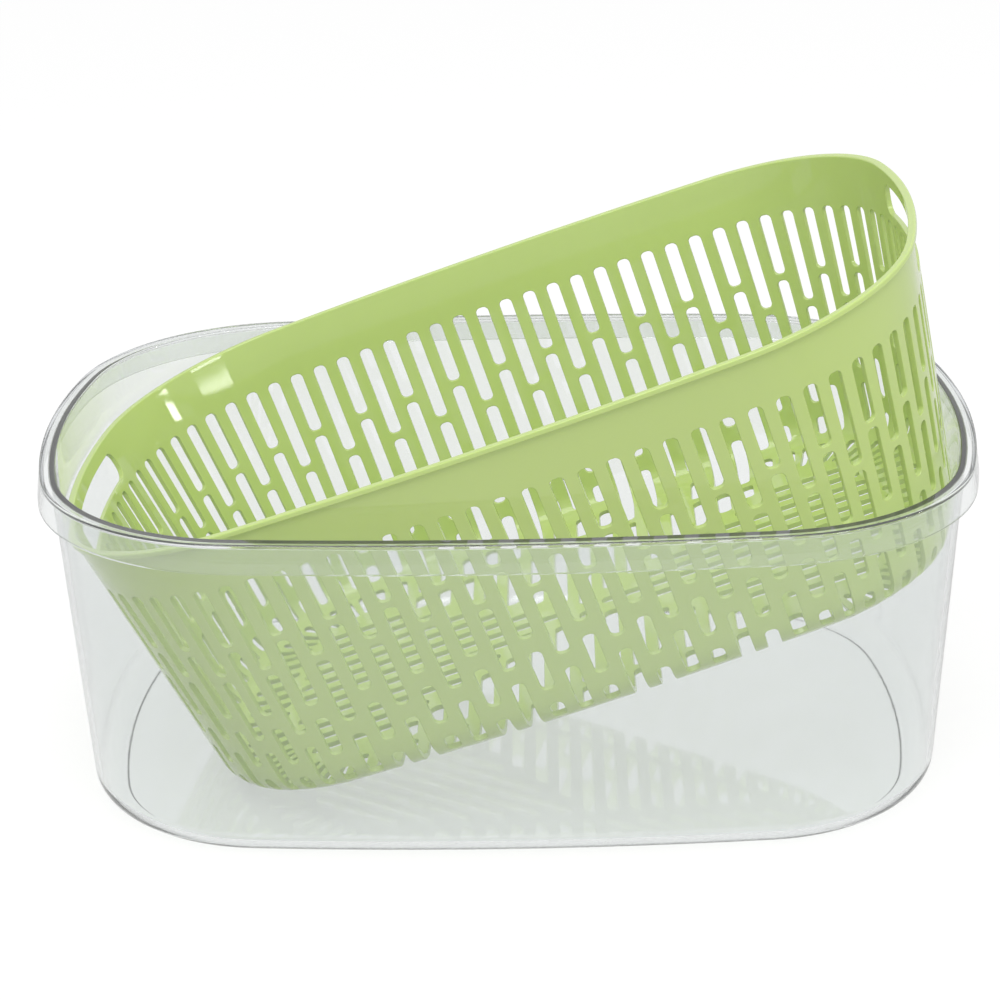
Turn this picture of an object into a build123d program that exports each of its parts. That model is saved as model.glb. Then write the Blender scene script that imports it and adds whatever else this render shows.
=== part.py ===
from build123d import *
import os
from math import atan2, cos, degrees, hypot, radians, sin, sqrt, tan

os.makedirs("parts", exist_ok=True)

# Clear food tub with a slotted colander basket leaning in it, in millimetres.
# The origin is the middle of the tub's base, +X runs along the tub and +Z is up.

# Tub: outline of the rim's outer edge, in eight tangent arcs
rim_length = 320.0
rim_width = 228.4
rim_corner_radius = 74.6
rim_side_radius = 1090.0
rim_end_radius = 262.0

# Tub: drafted wall, with a flange and a skirt that turn down outside it
tub_height = 116.8
tub_wall = 2.2
tub_draft_degrees = 3.7
flange_width = 3.3
flange_thickness = 2.0
skirt_drop = 9.8
skirt_flare = 1.3
skirt_thickness = 1.5

# Tub: base
base_radius = 9.4
floor_thickness = 3.0

# Basket: fit in the tub, leaning with its right end up
basket_lean_degrees = 18.9
seat_gap = 0.3
mouth_side_clearance = 3.8
end_relief = 6.0

# Basket: tapered bowl with a small lip
basket_depth = 107.1
basket_wall = 2.0
basket_taper_degrees = 8.85
basket_bottom_radius = 13.4
lip_overhang = 1.2
lip_height = 1.9

# Basket: plain band with a finger hole at each end
band_height = 18.5
finger_hole_length = 76.0
finger_hole_height = 10.5

# Basket: slotted wall, short and long columns by turns, their last slots running on to the bottom edge
slot_width = 4.8
slot_pitch = 9.2
short_column_shares = ((0.0, 0.254), (0.283, 0.581), (0.649, 0.818), (0.886, 0.948))
long_column_shares = ((0.0, 0.381), (0.412, 0.691), (0.757, 0.948))

# Basket: rows of slots in the floor, square to each wall, up to bars along the floor's diagonals
floor_bar = 3.0
floor_margin = 1.2
floor_diagonal_degrees = 35.0

# How many flats stand in for a round bottom edge, and how far a cut runs past the faces it opens
bottom_flats = 2
overrun = 2.0


# Outlines of eight tangent arcs
def outline(half_length, half_width, side_radius, end_radius, corner_radius):
    """Centre, radius, first angle and sweep of each arc, anticlockwise from the right end."""
    side_y = half_width - side_radius
    end_x = half_length - end_radius
    side_reach = side_radius - corner_radius
    end_reach = end_radius - corner_radius
    span = hypot(end_x, side_y)
    along = (side_reach**2 - end_reach**2 + span**2) / (2 * span)
    across = sqrt(side_reach**2 - along**2)
    corner_x = (along * end_x - across * side_y) / span
    corner_y = side_y - (along * side_y + across * end_x) / span
    end_turn = degrees(atan2(corner_y, corner_x - end_x))
    side_turn = degrees(atan2(corner_x, corner_y - side_y))
    corner_turn = 90 - end_turn - side_turn
    half = [
        ((end_x, 0), end_radius, -end_turn, 2 * end_turn),
        ((corner_x, corner_y), corner_radius, end_turn, corner_turn),
        ((0, side_y), side_radius, 90 - side_turn, 2 * side_turn),
        ((-corner_x, corner_y), corner_radius, 90 + side_turn, corner_turn),
    ]
    return half + [((-x, -y), radius, start + 180, sweep) for (x, y), radius, start, sweep in half]


def stations(arcs, out, count):
    """Equal steps round the outline from the middle of its right end: arc centre, radius and outward angle."""
    lengths = [radians(sweep) * (radius + out) for _, radius, _, sweep in arcs]
    places = []
    for number in range(count):
        travel = lengths[0] / 2 + number * sum(lengths) / count
        index = 0
        while travel > lengths[index]:
            travel -= lengths[index]
            index = (index + 1) % len(arcs)
        centre, radius, start, sweep = arcs[index]
        places.append((centre, radius, start + sweep * travel / lengths[index]))
    return places


def half_length_at(arcs, out, y):
    """How far the outline reaches along X at a distance from the long axis."""
    for (centre_x, centre_y), radius, start, sweep in arcs[:3]:
        if y <= centre_y + (radius + out) * sin(radians(min(start + sweep, 90))):
            return centre_x + sqrt((radius + out) ** 2 - (y - centre_y) ** 2)
    return 0


def round_edge(centre_out, centre_z, radius, slope):
    """Ends of the flats that stand in for a round bottom edge, from the sloping wall to the floor."""
    turns = [slope + (radians(90) - slope) * step / bottom_flats for step in range(bottom_flats + 1)]
    return [(centre_out + radius * cos(turn), centre_z - radius * sin(turn)) for turn in turns]


# Solids through levels, which are steps out from an outline and heights
def round_sided(arcs, levels):
    """A solid that keeps the outline's arcs."""
    faces = []
    for out, z in levels:
        edges = [CenterArc(centre, radius + out, start, sweep) for centre, radius, start, sweep in arcs]
        faces.append(Pos(0, 0, z) * make_face(edges))
    return loft(faces, ruled=True)


def flat_sided(places, levels):
    """A solid with one flat at each place, touching the outline there."""
    turns = [radians(angle) for _, _, angle in places]
    reaches = [x * cos(turn) + y * sin(turn) + radius for ((x, y), radius, _), turn in zip(places, turns)]
    points = []
    for number, turn in enumerate(turns):
        last_turn = turns[number - 1]
        for out, z in levels:
            reach, last_reach = reaches[number] + out, reaches[number - 1] + out
            x = (last_reach * sin(turn) - reach * sin(last_turn)) / sin(turn - last_turn)
            y = (reach * cos(last_turn) - last_reach * cos(turn)) / sin(turn - last_turn)
            points.append((x, y, z))
    return ConvexPolyhedron(points)


# Tub
draft = radians(tub_draft_degrees)


def tub_wall_outside(z):
    return (z - tub_height) * tan(draft) - flange_width


def tub_wall_inside(z):
    return tub_wall_outside(z) - tub_wall / cos(draft)


def make_tub(arcs):
    top = tub_height + overrun
    skirt_foot = tub_height - skirt_drop
    flange_under = tub_height - flange_thickness
    channel_out = skirt_flare * flange_thickness / skirt_drop - skirt_thickness
    inner_radius = base_radius - tub_wall
    inner_z = floor_thickness + inner_radius
    base_out = tub_wall_outside(base_radius) - base_radius / cos(draft)
    floor_out = tub_wall_inside(inner_z) - inner_radius / cos(draft)
    outer_edge = round_edge(base_out, base_radius, base_radius, draft)
    inner_edge = round_edge(floor_out, inner_z, inner_radius, draft)
    rim = round_sided(arcs, [(0, tub_height), (skirt_flare, skirt_foot)])
    channel = round_sided(arcs, [(channel_out, flange_under), (skirt_flare - skirt_thickness, skirt_foot)])
    outside = round_sided(arcs, [(tub_wall_outside(tub_height), tub_height)] + outer_edge)
    inside = round_sided(arcs, [(tub_wall_inside(top), top)] + inner_edge)
    return rim - channel + outside - inside


tub = make_tub(outline(rim_length / 2, rim_width / 2, rim_side_radius, rim_end_radius, rim_corner_radius))

# Basket: wall and bottom edge, measured from its rim
taper = radians(basket_taper_degrees)
round_z = basket_bottom_radius - basket_depth


def basket_wall_outside(z):
    return (z + lip_height) * tan(taper) - lip_overhang


def basket_wall_inside(z):
    return basket_wall_outside(z) - basket_wall / cos(taper)


round_out = basket_wall_outside(round_z) - basket_bottom_radius / cos(taper)
basket_outer_edge = round_edge(round_out, round_z, basket_bottom_radius, taper)
basket_inner_edge = round_edge(round_out, round_z, basket_bottom_radius - basket_wall, taper)

# Seat: the basket's lip leans on the left wall, its bottom edge stands on the floor at the left and on the
# right wall at the right, each a seat gap clear. The basket's length is what wedges so at its lean.
lean = radians(basket_lean_degrees)
tub_half_length = rim_length / 2 + tub_wall_inside(0) - seat_gap / cos(draft)
drop = max(out * sin(lean) - z * cos(lean) for out, z in basket_outer_edge)
push = max(out * cos(lean + draft) - z * sin(lean + draft) for out, z in basket_outer_edge) / cos(draft)
lip_z = floor_thickness + seat_gap + drop
wedge = 2 * tub_half_length - push + 2 * tan(draft) * lip_z
basket_half_length = wedge / (2 * cos(lean) - 2 * tan(draft) * sin(lean))
seat_z = lip_z + basket_half_length * sin(lean)
seat_x = basket_half_length * cos(lean) - tub_half_length - lip_z * tan(draft)

# Basket, made upright with its rim at height zero and then set in its seat
mouth_inset = -tub_wall_inside(tub_height)
basket_half_width = rim_width / 2 - mouth_inset - mouth_side_clearance
basket_side_radius = rim_side_radius - mouth_inset - mouth_side_clearance
basket_end_radius = (rim_end_radius - mouth_inset - end_relief) * cos(lean)
basket_corner_radius = rim_corner_radius - mouth_inset
grille_height = basket_depth - band_height
column_out = basket_wall_outside(-band_height)


def bowl(places):
    """The bowl without its openings, a flat to each column of slots or, on the long sides, to three."""
    flats = []
    half_count = len(places) // 2
    for number, place in enumerate(places):
        from_middle = number % half_count - half_count // 2
        if place[1] < basket_side_radius or from_middle % 3 == 0:
            flats.append(place)
    lip = flat_sided(flats, [(0, 0), (0, -lip_height)])
    outside = flat_sided(flats, [(basket_wall_outside(0), 0)] + basket_outer_edge)
    inside = flat_sided(flats, [(basket_wall_inside(overrun), overrun)] + basket_inner_edge)
    return lip + outside - inside


def columns(arcs):
    """Places of the columns: a short one at the middle of each end, a long one at the middle of each side."""
    quarter_length = sum(radians(sweep) * (radius + column_out) for _, radius, _, sweep in arcs) / 4
    quarter_count = 2 * round((quarter_length / slot_pitch - 1) / 2) + 1
    return stations(arcs, column_out, 4 * quarter_count)


def slot_end(z, out):
    """Height, a step out, of a slot's end that meets the wall's outer face squarely at height z."""
    return z + (basket_wall_outside(z) - out) * tan(taper)


def column(shares, radius):
    """Cutters for one column, out from its arc's centre, the last one running on to the bottom edge."""
    cutters = []
    for top_share, foot_share in shares:
        top = -band_height - top_share * grille_height
        foot = -band_height - foot_share * grille_height
        outside = basket_wall_outside(top) + overrun
        foot_inside = slot_end(foot, round_out)
        depth = outside - round_out
        slant = depth * tan(taper)
        height = slot_end(top, round_out) - foot_inside
        near, far = [slot_width * (radius + out) / (radius + column_out) for out in (round_out, outside)]
        low, high = (near - far) / 2, (near + far) / 2
        slot = Wedge(near, depth, height, low, -slant, high, height - slant, align=Align.NONE)
        cutters.append(Pos(radius + round_out, 0, foot_inside) * Rot(0, 0, -90) * Pos(-near / 2, 0) * slot)
    return cutters


def wall_slots(places):
    """Cutters for all the columns, short and long by turns."""
    cutters = []
    for number, ((x, y), radius, angle) in enumerate(places):
        shares = long_column_shares if number % 2 else short_column_shares
        cutters += [Pos(x, y) * Rot(0, 0, angle) * slot for slot in column(shares, radius)]
    return cutters


def floor_rows(arcs, diagonal):
    """Cutters in line with both ends of an outline, from the bars along the floor's diagonals to its margin."""
    out = round_out - floor_margin
    cutters = []
    for row in range(int(basket_half_length / slot_pitch)):
        y = row * slot_pitch
        side = y + slot_width / 2
        start = side / tan(diagonal) + floor_bar / 2 / sin(diagonal)
        length = half_length_at(arcs, out, side) - start
        if length < slot_pitch:
            break
        slot = Pos(start + length / 2, y, basket_wall / 2 - basket_depth)
        slot *= Box(length, slot_width, basket_wall + 2 * overrun)
        cutters += [slot, mirror(slot, Plane.YZ)]
        if row > 0:
            cutters += [mirror(slot, Plane.XZ), Rot(0, 0, 180) * slot]
    return cutters


def floor_slots(arcs, crosswise_arcs):
    """Rows square to the ends, and rows square to the sides made on the outline turned by a quarter."""
    diagonal = radians(floor_diagonal_degrees)
    side_rows = floor_rows(crosswise_arcs, radians(90) - diagonal)
    return floor_rows(arcs, diagonal) + [Rot(0, 0, 90) * slot for slot in side_rows]


def finger_holes():
    """A rounded hole through the band at each end."""
    depth = (lip_height + band_height) / 2
    near = basket_half_length + basket_wall_inside(-band_height) - finger_hole_length / 2
    hole = extrude(Plane.YZ * SlotOverall(finger_hole_length, finger_hole_height), basket_half_length)
    return [Rot(0, 0, turn) * Pos(near, 0, -depth) * hole for turn in (0, 180)]


basket_arcs = outline(
    basket_half_length, basket_half_width, basket_side_radius, basket_end_radius, basket_corner_radius
)
crosswise_arcs = outline(
    basket_half_width, basket_half_length, basket_end_radius, basket_side_radius, basket_corner_radius
)
basket_columns = columns(basket_arcs)
openings = wall_slots(basket_columns) + floor_slots(basket_arcs, crosswise_arcs) + finger_holes()
basket = bowl(basket_columns) - openings
basket = Pos(seat_x, 0, seat_z) * Rot(0, -basket_lean_degrees, 0) * basket

for name, piece in {"tub": tub, "basket": basket}.items():
    export_step(piece, f"parts/{name}.step")
    print(name, len(piece.solids()), "solid", round(piece.volume), "mm3")
print("basket rim", round(2 * basket_half_length, 1), "by", round(2 * basket_half_width, 1))
print("basket seat", round(seat_x, 2), round(seat_z, 2))
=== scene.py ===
# %% [markdown]
# # A clear tub with a colander basket leaning in it
# The real object is two mouldings: a rigid clear tub and a green basket full of drain slots. The imported model
# fixes where both of them are and how they move. It draws curved walls in flats, which keeps it light,
# so each moulding is made again here as a fine mesh of the same size in the same place.

# %% Load the imported model
from math import asin, atan2, ceil, cos, hypot, pi, radians, sin, sqrt, tan

import bmesh
import bpy
from mathutils import Matrix, Vector
from mathutils.geometry import delaunay_2d_cdt


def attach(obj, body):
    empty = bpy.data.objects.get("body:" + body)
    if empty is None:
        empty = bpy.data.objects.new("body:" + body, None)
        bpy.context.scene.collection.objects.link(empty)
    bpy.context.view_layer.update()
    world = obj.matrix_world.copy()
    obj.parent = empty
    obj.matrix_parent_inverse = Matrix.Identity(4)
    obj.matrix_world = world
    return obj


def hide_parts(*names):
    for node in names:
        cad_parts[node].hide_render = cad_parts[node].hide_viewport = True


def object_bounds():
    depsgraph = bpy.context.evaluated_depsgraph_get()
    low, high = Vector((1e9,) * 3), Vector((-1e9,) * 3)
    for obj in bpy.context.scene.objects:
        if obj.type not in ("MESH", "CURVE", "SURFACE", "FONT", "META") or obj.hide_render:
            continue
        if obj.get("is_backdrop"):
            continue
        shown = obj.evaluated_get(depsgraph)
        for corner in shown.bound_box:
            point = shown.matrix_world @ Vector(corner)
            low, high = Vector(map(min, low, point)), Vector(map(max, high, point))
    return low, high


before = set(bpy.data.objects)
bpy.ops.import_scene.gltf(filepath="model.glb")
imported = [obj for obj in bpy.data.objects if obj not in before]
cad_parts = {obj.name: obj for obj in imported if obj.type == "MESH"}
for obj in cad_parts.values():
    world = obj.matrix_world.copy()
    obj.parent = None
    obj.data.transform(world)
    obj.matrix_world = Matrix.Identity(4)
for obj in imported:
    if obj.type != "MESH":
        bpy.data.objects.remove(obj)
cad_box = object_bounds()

MM = 0.001

# %% [markdown]
# ## The outline that both mouldings share
# Seen from above, each moulding is a long rounded box with gently bowed sides: eight arcs that run into each other.
# A Bezier curve could be drawn by eye, but arcs can be worked out from five sizes, and every point on an arc knows
# which way is straight out of the wall. That gives true normals later on.


# %% Eight tangent arcs
def outline_arcs(half_length, half_width, side_radius, end_radius, corner_radius):
    """Centre, radius, first angle and sweep of each arc, anticlockwise from the right end."""
    side_y = half_width - side_radius
    end_x = half_length - end_radius
    side_reach = side_radius - corner_radius
    end_reach = end_radius - corner_radius
    span = hypot(end_x, side_y)
    along = (side_reach**2 - end_reach**2 + span**2) / (2 * span)
    across = sqrt(side_reach**2 - along**2)
    corner_x = (along * end_x - across * side_y) / span
    corner_y = side_y - (along * side_y + across * end_x) / span
    end_turn = atan2(corner_y, corner_x - end_x)
    side_turn = atan2(corner_x, corner_y - side_y)
    corner_turn = pi / 2 - end_turn - side_turn
    half = [
        (end_x, 0, end_radius, -end_turn, 2 * end_turn),
        (corner_x, corner_y, corner_radius, end_turn, corner_turn),
        (0, side_y, side_radius, pi / 2 - side_turn, 2 * side_turn),
        (-corner_x, corner_y, corner_radius, pi / 2 + side_turn, corner_turn),
    ]
    return half + [(-x, -y, radius, start + pi, sweep) for x, y, radius, start, sweep in half]


def outline_length(arcs, out):
    return sum(sweep * (radius + out) for _, _, radius, _, sweep in arcs)


def line_at(arcs, out, s):
    """The upright line of wall that lies s along the outline from the middle of its right end."""
    s = (s + arcs[0][4] * (arcs[0][2] + out) / 2) % outline_length(arcs, out)
    for x, y, radius, start, sweep in arcs:
        length = sweep * (radius + out)
        if s <= length:
            break
        s -= length
    return x, y, radius, start + sweep * s / length


def place_on(line, out, z):
    """The point of a line at a step out from the rim and a height."""
    x, y, radius, angle = line
    return Vector((x + (radius + out) * cos(angle), y + (radius + out) * sin(angle), z))


def turn_on(line, outward, upward):
    """A direction given as outward and upward parts, at a line of wall."""
    return Vector((outward * cos(line[3]), outward * sin(line[3]), upward))


tub_arcs = outline_arcs(160.0, 114.2, 1090.0, 262.0, 74.6)
basket_half_length, basket_half_width = 153.14, 104.9
basket_side_radius, basket_end_radius, basket_corner_radius = 1080.7, 236.96, 69.1
basket_arcs = outline_arcs(
    basket_half_length, basket_half_width, basket_side_radius, basket_end_radius, basket_corner_radius
)
print("tub rim is", round(outline_length(tub_arcs, 0)), "mm round, basket rim", round(outline_length(basket_arcs, 0)))

# %% [markdown]
# ## A moulding while it is being made
# Blender can guess smooth normals, but a slotted wall has long thin triangles beside sharp edges, and there the guess
# shows as dark smears. Here every point is added with the normal that the real surface has there. The small rounds
# along the edges then shade as rounds although each is only a few faces.


# %% Points, normals and faces
class Moulding:
    def __init__(self):
        self.points = []
        self.normals = []
        self.faces = []

    def add(self, point, normal):
        self.points.append(point)
        self.normals.append(normal)
        return len(self.points) - 1

    def strip(self, first, second, closed=True):
        """A row of quads between two rows of points."""
        count = len(first) if closed else len(first) - 1
        for i in range(count):
            j = (i + 1) % len(first)
            self.faces.append((first[i], first[j], second[j], second[i]))

    def make(self, name, place=Matrix()):
        """The finished object, in metres, with its faces turned outwards and its own normals."""
        mesh = bpy.data.meshes.new(name)
        mesh.from_pydata([place @ point * MM for point in self.points], [], self.faces)
        sheet = bmesh.new()
        sheet.from_mesh(mesh)
        bmesh.ops.recalc_face_normals(sheet, faces=sheet.faces)
        open_edges = sum(not edge.is_manifold for edge in sheet.edges)
        sheet.to_mesh(mesh)
        sheet.free()
        mesh.shade_smooth()
        turn = place.to_3x3()
        mesh.normals_split_custom_set_from_vertices([(turn @ normal).normalized() for normal in self.normals])
        piece = bpy.data.objects.new(name, mesh)
        bpy.context.collection.objects.link(piece)
        print(name, len(mesh.polygons), "faces,", open_edges, "open edges")
        return piece


# %% [markdown]
# ## Rounded sections
# A moulded part has no truly sharp edge: each one has a small radius that catches a line of light. The sections of
# the tub's wall and of the basket's lip are drawn as straight runs with a radius at each corner, then carried round
# the outline.


# %% A section with its corners rounded
def rounded_section(corners, degrees_a_step=12):
    """Steps out, heights and normals along a section; corners are (out, z, radius), the material on the left."""
    section = []
    for i, (out, z, radius) in enumerate(corners):
        here = Vector((out, z))
        before = here - Vector(corners[i - 1][:2]) if i else None
        after = Vector(corners[i + 1][:2]) - here if i + 1 < len(corners) else None
        first = (before or after).normalized()
        last = (after or before).normalized()
        turn = atan2(first.x * last.y - first.y * last.x, first.dot(last))
        side = 1 if turn > 0 else -1
        start = here - first * radius * tan(abs(turn) / 2)
        normal = Vector((first.y, -first.x))
        centre = start - normal * radius * side
        steps = max(3, ceil(abs(turn) / radians(degrees_a_step))) if abs(turn) > 0.001 else 0
        for step in range(steps + 1):
            angle = turn * step / max(steps, 1)
            turned = Matrix.Rotation(angle, 2) @ normal
            section.append((centre + turned * radius * side, turned))
    return section


# %% [markdown]
# ## The tub
# One clear moulding: a drafted wall, a rounded base on a narrow foot ring, and a rim that turns out and down into a
# skirt. Clear plastic shows every surface, also the hidden ones, so the hollow under the rim and the shallow recess
# under the floor are made too. Spinning a profile would need one centre; carrying the section round the eight arcs
# keeps the wall even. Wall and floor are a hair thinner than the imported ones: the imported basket's flats stand back
# from its true round, and the round basket made here has to clear the tub too.

# %% Tub: its section
tub_height = 116.8
tub_wall = 2.0
tub_draft = radians(3.7)
flange_width = 3.3
flange_thickness = 1.5
skirt_drop = 9.8
skirt_flare = 1.3
skirt_thickness = 1.5
base_radius = 9.4
tub_floor = 2.4
foot_width = 1.4
foot_height = 0.5
foot_round = 0.7
under_rim_round, channel_round = 0.5, 0.4
skirt_inner_round, skirt_outer_round = 0.35, 0.5
rim_outer_round, rim_inner_round = 0.8, 0.7


def tub_outside(z):
    return (z - tub_height) * tan(tub_draft) - flange_width


def tub_inside(z):
    return tub_outside(z) - tub_wall / cos(tub_draft)


foot_inside = tub_outside(base_radius) - base_radius / cos(tub_draft) - foot_width
recess = foot_inside - 3 * foot_height
flange_under = tub_height - flange_thickness
channel = skirt_flare * flange_thickness / skirt_drop - skirt_thickness
tub_section = rounded_section(
    [
        (recess - tub_wall, foot_height, 0),
        (foot_inside - foot_height, foot_height, foot_round),
        (foot_inside, 0, foot_round),
        (tub_outside(0), 0, base_radius),
        (tub_outside(flange_under), flange_under, under_rim_round),
        (channel, flange_under, channel_round),
        (skirt_flare - skirt_thickness, tub_height - skirt_drop, skirt_inner_round),
        (skirt_flare, tub_height - skirt_drop, skirt_outer_round),
        (0, tub_height, rim_outer_round),
        (tub_inside(tub_height), tub_height, rim_inner_round),
        (tub_inside(tub_floor), tub_floor, base_radius - tub_wall),
        (recess - tub_wall, tub_floor, 0),
    ]
)
print("tub section has", len(tub_section), "points")

# %% [markdown]
# ### Carrying the section round
# The section is set down every few millimetres along the outline, and neighbouring sections are joined by quads. An
# array along a curve could do that too, but would stretch in the corners. Two flat faces close the floor, above and
# below.

# %% Tub: its mesh
tub_line_spacing = 2.8
tub_round = outline_length(tub_arcs, 0)
tub_count = 4 * round(tub_round / tub_line_spacing / 4)
tub_lines = [line_at(tub_arcs, 0, tub_round * i / tub_count) for i in range(tub_count)]

tub_mould = Moulding()
tub_rings = []
for at, normal in tub_section:
    ring = [tub_mould.add(place_on(line, *at), turn_on(line, *normal)) for line in tub_lines]
    if tub_rings:
        tub_mould.strip(tub_rings[-1], ring)
    tub_rings.append(ring)
tub_mould.faces += [tub_rings[0], tub_rings[-1]]
tub = tub_mould.make("tub_shell")
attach(tub, "tub")
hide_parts("tub")

# %% [markdown]
# ## The basket's wall as a flat sheet
# The slotted wall is easiest to draw flat: s runs round the outline, and h runs down the wall, round the bottom
# edge and on along the floor. A third number, depth, goes from the outer face into the wall. Slots drawn on
# that flat sheet bend with it, so they narrow towards the corners' centres as the real ones do. Above the slots
# the wall thins a little towards the lip, the draft that lets a moulding leave its tool. The draft also tilts the
# band's inner face, which is what puts the lamps' reflections where the photograph has them.

# %% Basket: from the flat sheet to the bowl
basket_depth = 107.1
basket_wall = 2.0
basket_taper = radians(8.85)
basket_bottom_radius = 13.4
lip_overhang = 1.2
lip_height = 1.9
band_height = 18.5
band_draft = 0.016
sheet_top = 17.0
basket_lean = radians(18.9)
basket_seat = Vector((-7.92, 0, 144.82))

round_z = basket_bottom_radius - basket_depth
round_out = (round_z + lip_height) * tan(basket_taper) - lip_overhang - basket_bottom_radius / cos(basket_taper)
slope_end_z = round_z - basket_bottom_radius * sin(basket_taper)
slope_length = -slope_end_z / cos(basket_taper)
round_length = basket_bottom_radius * (pi / 2 - basket_taper)
floor_run = slope_length + round_length
column_out = (lip_height - band_height) * tan(basket_taper) - lip_overhang
basket_round = outline_length(basket_arcs, column_out)


def run_to(depth_below_rim):
    """How far down the sheet a height on the wall's outer face is."""
    if depth_below_rim <= -slope_end_z:
        return depth_below_rim / cos(basket_taper)
    angle = asin((depth_below_rim + round_z) / basket_bottom_radius)
    return slope_length + basket_bottom_radius * (angle - basket_taper)


def face_at(h):
    """Step out, height and slope of the outer face at a run h down the sheet."""
    if h <= slope_length:
        z = -h * cos(basket_taper)
        return (z + lip_height) * tan(basket_taper) - lip_overhang, z, basket_taper
    if h <= floor_run:
        angle = basket_taper + (h - slope_length) / basket_bottom_radius
        return round_out + basket_bottom_radius * cos(angle), round_z - basket_bottom_radius * sin(angle), angle
    return round_out - (h - floor_run), -basket_depth, pi / 2


def bowl_point(s, h, depth):
    """The place of a point of the sheet, and there the directions out of the wall, along s and along h."""
    line = line_at(basket_arcs, column_out, s)
    out, z, angle = face_at(h)
    thinning = band_draft * depth / basket_wall if h < sheet_top else 0
    depth -= thinning * (sheet_top - h)
    place = place_on(line, out - depth * cos(angle), z + depth * sin(angle))
    along = Vector((-sin(line[3]), cos(line[3]), 0))
    down = turn_on(line, -sin(angle), -cos(angle))
    outward = turn_on(line, cos(angle), -sin(angle)) + down * thinning
    return place, outward, along, down


print("sheet is", round(basket_round), "mm round and", round(floor_run), "mm down to the floor")

# %% [markdown]
# ## Slots with rounded ends and rounded edges
# Cutting three hundred slots with a Boolean modifier is slow and leaves ragged shading. Instead the sheet is
# triangulated around the slots' outlines. Only four kinds of column exist, so four triangulations serve all the
# columns. Each slot then gets four rings of points through the wall: face, edge round, edge round, face.

# %% Slots: outlines and triangulation
edge_round = 0.3
end_roundness = 0.78
side_step = 2.8
wall_layers = (0.0, edge_round, basket_wall - edge_round, basket_wall)


def slot_outline(middle, half_across, half_down, swell, arc_steps=10):
    """Points round a slot with rounded ends, and the way into it at each; swell moves them outwards."""
    radius = min(half_across, half_down) * end_roundness
    reach = Vector((half_across - radius, half_down - radius))
    outline = []
    for quarter in range(4):
        corner = Vector((reach.x * (1, -1, -1, 1)[quarter], reach.y * (1, 1, -1, -1)[quarter]))
        for step in range(arc_steps // 2 + 1):
            angle = (quarter + step / (arc_steps // 2)) * pi / 2
            way = Vector((cos(angle), sin(angle)))
            outline.append((corner + way * radius, way))
        gap = 2 * (reach.y if quarter % 2 else reach.x)
        following = Vector((reach.x * (-1, -1, 1, 1)[quarter], reach.y * (1, -1, -1, 1)[quarter]))
        pieces = ceil(gap / side_step)
        way = outline[-1][1]
        for piece in range(1, pieces):
            outline.append((corner.lerp(following, piece / pieces) + way * radius, way))
    points, ways = [], []
    for at, way in outline:
        if not points or (points[-1] - middle - at - way * swell).length > 0.001:
            points.append(middle + at + way * swell)
            ways.append(-way)
    if (points[0] - points[-1]).length < 0.001:
        points.pop()
        ways.pop()
    return points, ways


def in_slot(point, slot):
    """Whether a point of the sheet is inside a slot (middle, half across, half down) or the round of its edge."""
    middle, half_across, half_down = slot
    radius = min(half_across, half_down) * end_roundness
    x = max(abs(point.x - middle.x) - half_across + radius, 0)
    y = max(abs(point.y - middle.y) - half_down + radius, 0)
    return hypot(x, y) < radius + edge_round


def fill_around(border, slots):
    """Triangles around slots, as numbers into the points of the border and of the slots."""
    points = list(border)
    loops = [range(len(border))]
    for slot in slots:
        outline, _ = slot_outline(*slot, edge_round)
        loops.append(range(len(points), len(points) + len(outline)))
        points += outline
    edges = [(loop[i - 1], loop[i]) for loop in loops for i in range(len(loop))]
    corners, _, triangles, source, _, _ = delaunay_2d_cdt(points, edges, [], 1, 1e-5)
    kept = []
    for triangle in triangles:
        centre = sum((corners[i] for i in triangle), Vector((0, 0))) / 3
        if not any(in_slot(centre, slot) for slot in slots):
            kept.append([source[i][0] for i in triangle])
    return kept


def cut_slot(mould, slot, lift):
    """The four rings of one slot through the wall; lift gives place and directions. Returns outer and inner rings."""
    rings = []
    for layer, depth in enumerate(wall_layers):
        on_face = layer in (0, 3)
        ring = []
        for at, way in zip(*slot_outline(*slot, edge_round if on_face else 0)):
            place, outward, along, down = lift(at.x, at.y, depth)
            normal = along * way.x + down * way.y
            if on_face:
                normal = outward if layer == 0 else -outward
            ring.append(mould.add(place, normal))
        if rings:
            mould.strip(rings[-1], ring)
        rings.append(ring)
    return rings[0], rings[-1]


# %% [markdown]
# ## The slot pattern
# Read off the photograph: columns at equal steps all round, short and long by turns, each a stack of slots with
# thin bars between them. The last slot of every column runs on to the round of the bottom edge, and the floor's slots
# begin behind a bar. Along the sides two columns in four have no such bar: there the slot runs on under the floor,
# which notches the basket's lower edge as in the photograph.

# %% Columns of slots
slot_half = 2.4
column_count = 92
pitch = basket_round / column_count
short_depths = ((18.5, 41.0), (43.57, 69.98), (76.0, 90.97), (97.0, 103.2))
long_depths = ((18.5, 52.26), (55.0, 79.7), (85.57, 103.2))
floor_slot_angle = radians(69.0)
floor_slot_reach = 11.0
sheet_on_floor = 13.0
sheet_end = floor_run + sheet_on_floor
joined_steps = (2, 3, 6, 7)
quarter_steps = (-0.5, -0.25, 0.0, 0.25, 0.5)


def column_slots(depths, joined):
    """A column's slots on the sheet. The floor's slot starts behind a bar, or joins the last one of the wall."""
    runs = [(run_to(top), run_to(foot)) for top, foot in depths]
    floor_start = slope_length + basket_bottom_radius * (floor_slot_angle - basket_taper)
    if joined:
        floor_start = runs.pop()[0]
    runs.append((floor_start, floor_run + floor_slot_reach))
    return [(Vector((0, (first + last) / 2)), slot_half, (last - first) / 2) for first, last in runs]


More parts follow.
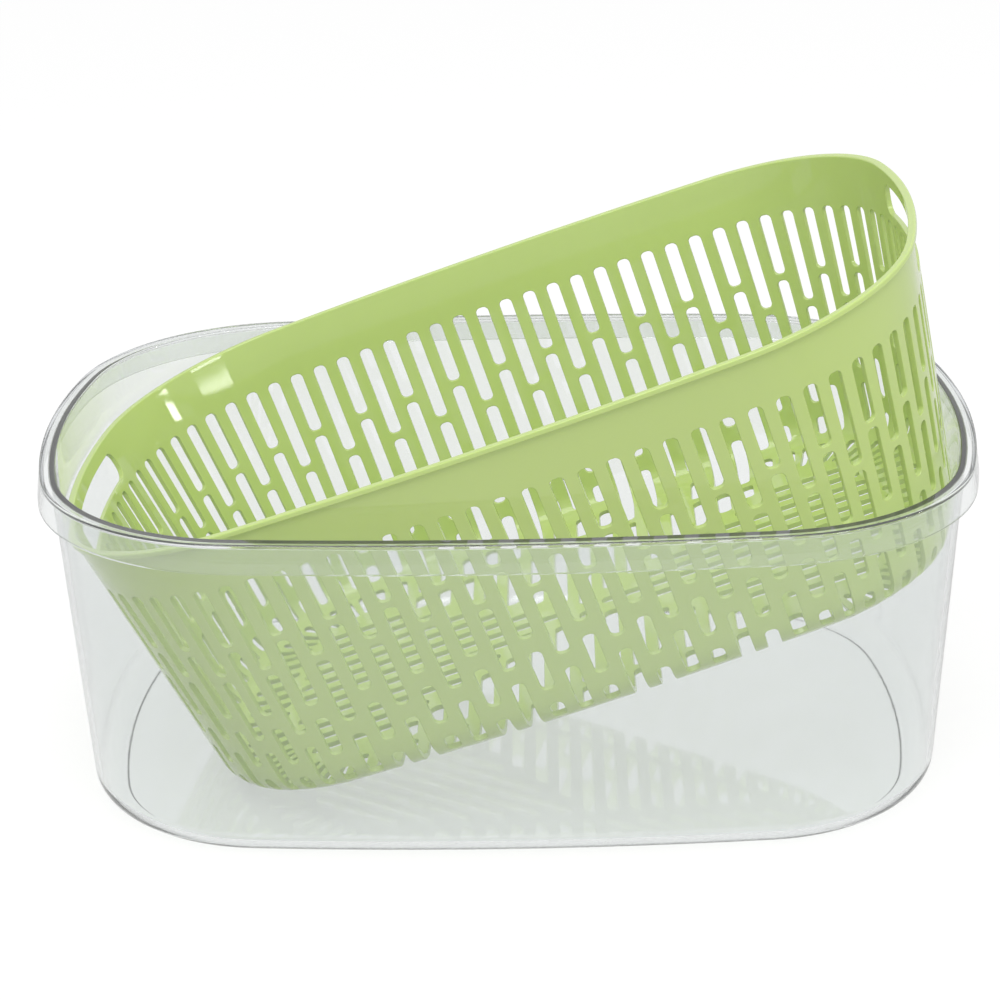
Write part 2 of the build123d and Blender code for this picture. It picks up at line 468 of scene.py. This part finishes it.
sheet_rows = ceil((sheet_end - sheet_top) / side_step)
sheet_runs = [sheet_top + (sheet_end - sheet_top) * i / sheet_rows for i in range(sheet_rows + 1)]
column_border = [Vector((pitch * step, sheet_top)) for step in quarter_steps]
column_border += [Vector((pitch / 2, h)) for h in sheet_runs[1:-1]]
column_border += [Vector((pitch * step, sheet_end)) for step in reversed(quarter_steps)]
column_border += [Vector((-pitch / 2, h)) for h in reversed(sheet_runs[1:-1])]
column_kinds = {}
for joined in (False, True):
    for long, depths in enumerate((short_depths, long_depths)):
        slots = column_slots(depths, joined)
        column_kinds[long, joined] = (slots, fill_around(column_border, slots))
print(column_count, "columns", round(pitch, 2), "mm apart, of", len(column_kinds), "kinds")

# %% [markdown]
# ### Bending the columns into the wall
# Ninety-two panels side by side make the wall. Each is one of the four kinds of column, lifted from the sheet to the
# bowl. Panels look up their border points by place, so neighbours share them and no seam opens. An array with a curve
# modifier would be shorter, but its copies would not know the true normals.

# %% Wall of the basket
basket_mould = Moulding()
sheet_known = {}


def sheet_point(s, h, inner):
    """A point on a face of the wall that neighbours share."""
    key = (round(s % basket_round, 3) % round(basket_round, 3), round(h, 3), inner)
    if key not in sheet_known:
        place, outward, _, _ = bowl_point(s, h, basket_wall if inner else 0)
        sheet_known[key] = basket_mould.add(place, -outward if inner else outward)
    return sheet_known[key]


def wall_panel(middle_s, border, slots, fill):
    """A stretch of wall on both faces, with its slots."""

    def lift(s, h, depth):
        return bowl_point(middle_s + s, h, depth)

    outer = [sheet_point(middle_s + at.x, at.y, False) for at in border]
    inner = [sheet_point(middle_s + at.x, at.y, True) for at in border]
    for slot in slots:
        slot_outer, slot_inner = cut_slot(basket_mould, slot, lift)
        outer += slot_outer
        inner += slot_inner
    for triangle in fill:
        basket_mould.faces.append([outer[i] for i in triangle])
        basket_mould.faces.append([inner[i] for i in reversed(triangle)])


for number in range(column_count):
    from_middle_of_side = abs(number % (column_count // 2) - column_count // 4)
    wall_panel(number * pitch, column_border, *column_kinds[number % 2, from_middle_of_side in joined_steps])
print("wall has", len(basket_mould.faces), "faces")

# %% [markdown]
# ## Band and finger holes
# Above the slots the wall is a plain band with a long rounded hole at each end to lift the basket by. The band
# is a simple grid, apart from a panel round each hole, which is filled and cut just as a column of slots is.

# %% Band with its finger holes
finger_hole_half_length = 38.0
finger_hole_half_height = 5.25
lip_root = 0.3
band_top = (lip_height + lip_root) / cos(basket_taper)
band_rows = 5
band_runs = [band_top + (sheet_top - band_top) * i / band_rows for i in range(band_rows + 1)]
panel_columns = 9
panel_half = panel_columns * pitch / 2
finger_middle = Vector((0, run_to((lip_height + band_height) / 2)))
finger_slot = (finger_middle, finger_hole_half_length, finger_hole_half_height)
panel_steps = [pitch * i / 4 - panel_half for i in range(panel_columns * 4 + 1)]
panel_border = [Vector((s, band_top)) for s in panel_steps]
panel_border += [Vector((panel_half, h)) for h in band_runs[1:-1]]
panel_border += [Vector((s, sheet_top)) for s in reversed(panel_steps)]
panel_border += [Vector((-panel_half, h)) for h in reversed(band_runs[1:-1])]
panel_fill = fill_around(panel_border, [finger_slot])
for middle_s in (0, basket_round / 2):
    wall_panel(middle_s, panel_border, [finger_slot], panel_fill)

for start in (panel_half, basket_round / 2 + panel_half):
    cells = round((basket_round / 2 - 2 * panel_half) / pitch * 4)
    for inner in (False, True):
        rows = [[sheet_point(start + pitch * i / 4, h, inner) for i in range(cells + 1)] for h in band_runs]
        for upper, lower in zip(rows, rows[1:]):
            basket_mould.strip(upper, lower, closed=False)
print("band with two finger holes brings it to", len(basket_mould.faces), "faces")

# %% [markdown]
# ## Lip
# A small bead stands out round the top of the basket and stiffens it. It is a rounded section carried round the
# outline, as on the tub, from the band's outer face over the top to its inner face, so it closes the wall.

# %% Lip
lip_under_round, lip_top_round = 0.4, 0.6
lip_slope = tan(basket_taper)
band_outer = face_at(band_top)
wall_at_lip = basket_wall - band_draft * (sheet_top - band_top)
inner_top = -lip_overhang + lip_height * lip_slope - wall_at_lip / cos(basket_taper)
band_inner_z = band_outer[1] + wall_at_lip * sin(basket_taper)
lip_section = rounded_section(
    [
        (band_outer[0], band_outer[1], 0),
        (-lip_overhang, -lip_height, lip_root / 2),
        (0, -lip_height, lip_under_round),
        (0, 0, lip_top_round),
        (inner_top, 0, lip_top_round),
        (inner_top + band_inner_z * lip_slope, band_inner_z, 0),
    ]
)
lip_steps = [pitch * i / 4 for i in range(column_count * 4)]
lip_lines = [line_at(basket_arcs, column_out, s) for s in lip_steps]
rings = [[sheet_point(s, band_top, False) for s in lip_steps]]
for at, normal in lip_section[1:-1]:
    rings.append([basket_mould.add(place_on(line, *at), turn_on(line, *normal)) for line in lip_lines])
rings.append([sheet_point(s, band_top, True) for s in lip_steps])
for lower, upper in zip(rings, rings[1:]):
    basket_mould.strip(lower, upper)
print("lip brings it to", len(basket_mould.faces), "faces")

# %% [markdown]
# ## The basket's floor
# Slots on the floor run square to each wall and stop at bars along the floor's diagonals, the pattern that shows
# through the wall's slots in the photograph. The sheet ends a little way in from the bottom edge, and inside that
# line the flat floor can be drawn in plan. How far a row of slots can reach follows from the outline's arcs.

# %% Floor: places in plan
floor_bar = 3.0
floor_diagonal = radians(35.0)
floor_pitch = 9.2
floor_edge_bar = 1.2
floor_slot_out = face_at(sheet_end)[0] - floor_edge_bar
crosswise_arcs = outline_arcs(
    basket_half_width, basket_half_length, basket_end_radius, basket_side_radius, basket_corner_radius
)


def half_length_at(arcs, out, y):
    """How far the outline reaches along X at a distance from the long axis."""
    for x, centre_y, radius, start, sweep in arcs[:3]:
        if y <= centre_y + (radius + out) * sin(min(start + sweep, pi / 2)):
            return x + sqrt((radius + out) ** 2 - (y - centre_y) ** 2)
    return 0


def floor_point(x, y, depth):
    """The floor as a sheet in plan. Its outer face is the underside."""
    return Vector((x, y, depth - basket_depth)), Vector((0, 0, -1)), Vector((1, 0, 0)), Vector((0, 1, 0))


def floor_rows(arcs, diagonal):
    """Start, finish and offset of the rows of slots in line with an outline's right end."""
    rows = []
    for row in range(column_count):
        side = row * floor_pitch + slot_half
        start = side / tan(diagonal) + floor_bar / 2 / sin(diagonal)
        finish = half_length_at(arcs, floor_slot_out, side)
        if finish - start < floor_pitch:
            break
        rows.append((start, finish, row * floor_pitch))
    return rows


floor_slots = []
for start, finish, offset in floor_rows(basket_arcs, floor_diagonal):
    for along in (-1, 1):
        for across in (-1, 1) if offset else (1,):
            middle = Vector((along * (start + finish) / 2, across * offset))
            floor_slots.append((middle, (finish - start) / 2, slot_half))
for start, finish, offset in floor_rows(crosswise_arcs, pi / 2 - floor_diagonal):
    for along in (-1, 1):
        for across in (-1, 1) if offset else (1,):
            middle = Vector((across * offset, along * (start + finish) / 2))
            floor_slots.append((middle, slot_half, (finish - start) / 2))
print(len(floor_slots), "floor slots")

# %% [markdown]
# ### Filling the floor
# The same triangulation fills the floor round its slots, once for the underside and once for the top. It
# shares the sheet's last points, so that the basket comes out as one closed mesh with no open edge. Leaned and set
# down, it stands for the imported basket.

# %% Floor: fill, and the finished basket
floor_under = [sheet_point(s, sheet_end, False) for s in lip_steps]
floor_over = [sheet_point(s, sheet_end, True) for s in lip_steps]
floor_border = [basket_mould.points[i].to_2d() for i in floor_under]
floor_fill = fill_around(floor_border, floor_slots)
for slot in floor_slots:
    slot_outer, slot_inner = cut_slot(basket_mould, slot, floor_point)
    floor_under += slot_outer
    floor_over += slot_inner
for triangle in floor_fill:
    basket_mould.faces.append([floor_under[i] for i in triangle])
    basket_mould.faces.append([floor_over[i] for i in reversed(triangle)])
basket_place = Matrix.Translation(basket_seat) @ Matrix.Rotation(-basket_lean, 4, "Y")
basket = basket_mould.make("basket_bowl", basket_place)
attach(basket, "basket")
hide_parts("basket")

# %% [markdown]
# ## Materials
# Both are moulded plastics. Their colours are read as sRGB hex values, which Blender wants as linear light. One
# small function adds a node, sets its sockets and properties, and links its inputs.


# %% Colours and nodes
def linear(hex_colour):
    """Linear RGBA of an sRGB hex colour."""
    parts = [int(hex_colour[i : i + 2], 16) / 255 for i in (1, 3, 5)]
    return [c / 12.92 if c <= 0.04045 else ((c + 0.055) / 1.055) ** 2.4 for c in parts] + [1.0]


def add_node(tree, kind, sockets=None, links=None, **settings):
    """A node with its properties, socket values and links from other nodes' outputs."""
    node = tree.nodes.new(kind)
    for name, value in settings.items():
        setattr(node, name, value)
    for name, value in (sockets or {}).items():
        node.inputs[name].default_value = value
    for name, output in (links or {}).items():
        tree.links.new(output, node.inputs[name])
    return node


def new_material(name):
    material = bpy.data.materials.new(name)
    material.use_nodes = True
    material.node_tree.nodes.clear()
    return material, material.node_tree


# %% [markdown]
# ### Clear SAN
# The tub is a clear styrene plastic (SAN), moulded in a polished tool. It bends light a little more than glass
# does (IOR 1.57), and its gloss wanders a little with the flow of the melt. In the mass it takes some light away, the
# yellow more than the blue, so the rim and other edges that are looked at end-on go slate grey. That comes from
# absorption inside the wall and not from a colour on it. Lamps shine through: for shadow rays and bounced light it
# is plain transparent, otherwise everything inside it would sit in the dark.

# %% Material of the tub
san, tree = new_material("san_clear_polished")
light_path = add_node(tree, "ShaderNodeLightPath")
passing = add_node(
    tree,
    "ShaderNodeMath",
    operation="MAXIMUM",
    links={0: light_path.outputs["Is Shadow Ray"], 1: light_path.outputs["Is Diffuse Ray"]},
)
where = add_node(tree, "ShaderNodeTexCoord")
flow_mm = 25.0
flow = add_node(
    tree,
    "ShaderNodeTexNoise",
    {"Scale": 1 / (flow_mm * MM), "Detail": 2.0},
    {"Vector": where.outputs["Object"]},
)
polish = add_node(tree, "ShaderNodeMapRange", {"To Min": 0.01, "To Max": 0.05}, {"Value": flow.outputs["Fac"]})
clear = add_node(
    tree,
    "ShaderNodeBsdfPrincipled",
    {"Base Color": linear("#F7F9F8"), "IOR": 1.57, "Transmission Weight": 0.97},
    {"Roughness": polish.outputs["Result"]},
)
lets_through = add_node(tree, "ShaderNodeBsdfTransparent", {"Color": linear("#FCFDFC")})
tub_mix = add_node(
    tree,
    "ShaderNodeMixShader",
    links={0: passing.outputs[0], 1: clear.outputs[0], 2: lets_through.outputs[0]},
)
tint = add_node(tree, "ShaderNodeVolumeAbsorption", {"Color": linear("#7C84A0"), "Density": 23.0})
add_node(tree, "ShaderNodeOutputMaterial", links={"Surface": tub_mix.outputs[0], "Volume": tint.outputs[0]})
tub.data.materials.append(san)

# %% [markdown]
# ### Green polypropylene
# The basket is moulded polypropylene: glossy where the tool was polished, waxy, and a little see-through, so thin
# bars glow where light comes from behind. Some light scattered under the surface gives that. A slow noise varies the
# colour a touch as the melt does, and a fine one the gloss. The tool's own texture is some hundredths of a
# millimetre, too fine to show, so it is drawn coarser here.

# %% Material of the basket
pp, tree = new_material("polypropylene_green_moulded")
where = add_node(tree, "ShaderNodeTexCoord")
flow_mm = 60.0
flow = add_node(
    tree,
    "ShaderNodeTexNoise",
    {"Scale": 1 / (flow_mm * MM), "Detail": 2.0},
    {"Vector": where.outputs["Object"]},
)
flow_colour = add_node(tree, "ShaderNodeValToRGB", links={"Fac": flow.outputs["Fac"]})
flow_colour.color_ramp.elements[0].color = linear("#B9CE7C")
flow_colour.color_ramp.elements[1].color = linear("#BFD384")
grain_mm = 1.4
grain = add_node(
    tree,
    "ShaderNodeTexNoise",
    {"Scale": 1 / (grain_mm * MM), "Detail": 3.0},
    {"Vector": where.outputs["Object"]},
)
sheen_range = add_node(
    tree,
    "ShaderNodeMapRange",
    {"To Min": 0.03, "To Max": 0.06},
    {"Value": grain.outputs["Fac"]},
)
waviness = add_node(
    tree,
    "ShaderNodeBump",
    {"Strength": 0.02, "Distance": 0.05 * MM},
    {"Height": grain.outputs["Fac"]},
)
green = add_node(
    tree,
    "ShaderNodeBsdfPrincipled",
    {"IOR": 1.49, "Subsurface Weight": 0.25, "Subsurface Radius": (0.9, 1.0, 0.35), "Subsurface Scale": 1.2 * MM},
    {
        "Base Color": flow_colour.outputs["Color"],
        "Roughness": sheen_range.outputs["Result"],
        "Normal": waviness.outputs["Normal"],
    },
)
add_node(tree, "ShaderNodeOutputMaterial", links={"Surface": green.outputs[0]})
basket.data.materials.append(pp)
print("materials", san.name, pp.name)

# %% [markdown]
# ## Studio
# The photograph is a bright cut-out: white all round, with large soft light from above. White comes from the floor
# and the backdrop themselves and not from more light on the object: they glow where they are looked at. Clear plastic
# needs them a little greyer than white, both through it and mirrored in it, or the tub would vanish. The Light Path
# node tells these cases apart.


# %% How the studio is seen
def seen_directly(tree):
    """One where the camera, a reflection or clear plastic looks straight at the studio."""
    path = add_node(tree, "ShaderNodeLightPath")
    glossy = add_node(
        tree,
        "ShaderNodeMath",
        operation="MAXIMUM",
        links={0: path.outputs["Is Camera Ray"], 1: path.outputs["Is Glossy Ray"]},
    )
    return add_node(
        tree,
        "ShaderNodeMath",
        operation="MAXIMUM",
        links={0: glossy.outputs[0], 1: path.outputs["Is Transmission Ray"]},
    ).outputs[0]


def by_view(tree, to_camera, through_plastic, mirrored):
    """A level that depends on how the studio is seen. mirrored is a number, or the output of a node."""
    path = add_node(tree, "ShaderNodeLightPath")
    through = add_node(tree, "ShaderNodeMix", {3: through_plastic}, {0: path.outputs["Is Transmission Ray"]})
    if isinstance(mirrored, float):
        through.inputs[2].default_value = mirrored
    else:
        tree.links.new(mirrored, through.inputs[2])
    direct = add_node(
        tree,
        "ShaderNodeMix",
        {3: to_camera},
        {0: path.outputs["Is Camera Ray"], 2: through.outputs[0]},
    )
    return direct.outputs[0]


# %% [markdown]
# ### Paper floor
# A sheet of matt white paper, far larger than the frame. It takes the object's shadow as any diffuse surface does,
# and a glow lifts it to white. Mirrored in the tub's front wall it is brightest just in front of the object, where
# the light falls in the photograph: that is a painted pool of light, a round gradient in the glow, lit by no lamp.

# %% Paper floor
floor_half = 4.0
mesh = bpy.data.meshes.new("studio_floor")
corners = [(x * floor_half, y * floor_half, 0) for x, y in ((-1, -1), (1, -1), (1, 1), (-1, 1))]
mesh.from_pydata(corners, [], [(0, 1, 2, 3)])
studio_floor = bpy.data.objects.new("studio_floor", mesh)
bpy.context.collection.objects.link(studio_floor)
studio_floor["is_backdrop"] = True

paper, tree = new_material("matt_white_paper")
plain = add_node(tree, "ShaderNodeBsdfDiffuse", {"Color": linear("#C4C4C4")})
shadow_catch = add_node(tree, "ShaderNodeBsdfDiffuse", {"Color": linear("#8C8C8C")})
# Painted pool of light: where the paper is seen mirrored, a round gradient raises its glow in front of the object.
painted_pool_in_front, painted_pool_radius = 0.25, 0.4
where = add_node(tree, "ShaderNodeTexCoord")
painted_pool_mapping = add_node(
    tree,
    "ShaderNodeMapping",
    {"Location": (0, painted_pool_in_front / painted_pool_radius, 0), "Scale": (1 / painted_pool_radius, 1 / painted_pool_radius, 1)},
    {"Vector": where.outputs["Object"]},
)
painted_pool = add_node(tree, "ShaderNodeTexGradient", links={"Vector": painted_pool_mapping.outputs[0]}, gradient_type="SPHERICAL")
mirrored = add_node(tree, "ShaderNodeMapRange", {"To Min": 0.58, "To Max": 1.0}, {"Value": painted_pool.outputs["Fac"]})
glow_level = by_view(tree, 0.75, 0.715, mirrored.outputs["Result"])
glow = add_node(tree, "ShaderNodeEmission", {"Color": linear("#FFFFFF")}, {"Strength": glow_level})
glowing = add_node(tree, "ShaderNodeAddShader", links={0: shadow_catch.outputs[0], 1: glow.outputs[0]})
paper_mix = add_node(
    tree,
    "ShaderNodeMixShader",
    links={0: seen_directly(tree), 1: plain.outputs[0], 2: glowing.outputs[0]},
)
add_node(tree, "ShaderNodeOutputMaterial", links={"Surface": paper_mix.outputs[0]})
studio_floor.data.materials.append(paper)
print("floor is", 2 * floor_half, "m across")

# %% [markdown]
# ### Backdrop
# The world stands for the white walls of the studio. It fills the shadows with even light, and it is white where the
# camera looks at it.

# %% Backdrop
world = bpy.data.worlds.new("white_studio")
bpy.context.scene.world = world
world.use_nodes = True
tree = world.node_tree
tree.nodes.clear()
fill_light = add_node(tree, "ShaderNodeBackground", {"Color": linear("#FFFFFF"), "Strength": 0.79})
backdrop = add_node(
    tree,
    "ShaderNodeBackground",
    {"Color": linear("#FFFFFF")},
    {"Strength": by_view(tree, 1.0, 0.98, 0.87)},
)
world_mix = add_node(
    tree,
    "ShaderNodeMixShader",
    links={0: seen_directly(tree), 1: fill_light.outputs[0], 2: backdrop.outputs[0]},
)
add_node(tree, "ShaderNodeOutputWorld", links={"Surface": world_mix.outputs[0]})
print("world", world.name)

# %% [markdown]
# ## Soft boxes
# A large box above gives the soft light. Two narrow ones at the right are there for their reflections: the strip
# makes the pale patch on the band inside the basket's left corner, and the lamp behind the right finger hole makes
# the small white oblong beside it. Their places were found by following the camera's rays from those two highlights
# off the band's inner face.

# %% Soft boxes
middle_of_object = Vector((0, 0, 0.09))


def soft_box(name, place, width, height, watts, tilt=0.0):
    """A rectangular lamp that faces the object, tilted about its own axis."""
    data = bpy.data.lights.new(name, "AREA")
    data.shape = "RECTANGLE"
    data.size = width
    data.size_y = height
    data.energy = watts
    lamp = bpy.data.objects.new(name, data)
    lamp.location = place
    facing = (middle_of_object - Vector(place)).to_track_quat("-Z", "Y").to_matrix()
    lamp.rotation_euler = (facing @ Matrix.Rotation(tilt, 3, "Z")).to_euler()
    bpy.context.collection.objects.link(lamp)
    return lamp


soft_box("front_right_strip", (0.793, -0.875, 0.45), 0.51, 0.06, 1.0, radians(11))
soft_box("right_lamp", (1.185, -0.116, 0.545), 0.26, 0.045, 0.88)
soft_box("top_box", (-0.15, -0.75, 1.55), 1.2, 1.0, 13.5)
print("lamps", [light.name for light in bpy.data.lights])

# %% [markdown]
# ## Camera
# The camera was solved from the photograph: about 23 degrees above the table, one metre away, with a long lens. A
# slight roll and a small lens shift put the object where the frame has it.

# %% Camera
camera_target = Vector((8.593, 0, 58.4)) * MM
camera_turn = 0.006
camera_rise = 0.406
camera_distance = 1.048
camera_roll = -0.019
focal_share = 2.954
principal_share = (0.5359, 0.5722)

away = Vector((sin(camera_turn) * cos(camera_rise), -cos(camera_turn) * cos(camera_rise), sin(camera_rise)))
right = Vector((0, 0, 1)).cross(away).normalized()
up = away.cross(right)
rolled_right = right * cos(camera_roll) + up * sin(camera_roll)
rolled_up = up * cos(camera_roll) - right * sin(camera_roll)
data = bpy.data.cameras.new("photo_camera")
data.sensor_width = 36.0
data.lens = focal_share * data.sensor_width
data.shift_x = 0.5 - principal_share[0]
data.shift_y = principal_share[1] - 0.5
camera = bpy.data.objects.new("photo_camera", data)
place = Matrix.Translation(camera_target + away * camera_distance)
camera.matrix_world = place @ Matrix((rolled_right, rolled_up, away)).transposed().to_4x4()
bpy.context.collection.objects.link(camera)
bpy.context.scene.camera = camera
bpy.context.scene.view_settings.view_transform = "Standard"
print("lens", round(data.lens, 1), "mm")

# %% [markdown]
# ## Sizes, and the end
# The finished pieces have to stay within the box of the imported model. Both boxes are printed side by side, in
# metres.

# %% Print both sizes and finish
sizes = {"cad": cad_box, "visual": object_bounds()}
sizes = {name: [[float(v) for v in corner] for corner in box] for name, box in sizes.items()}
print(sizes)
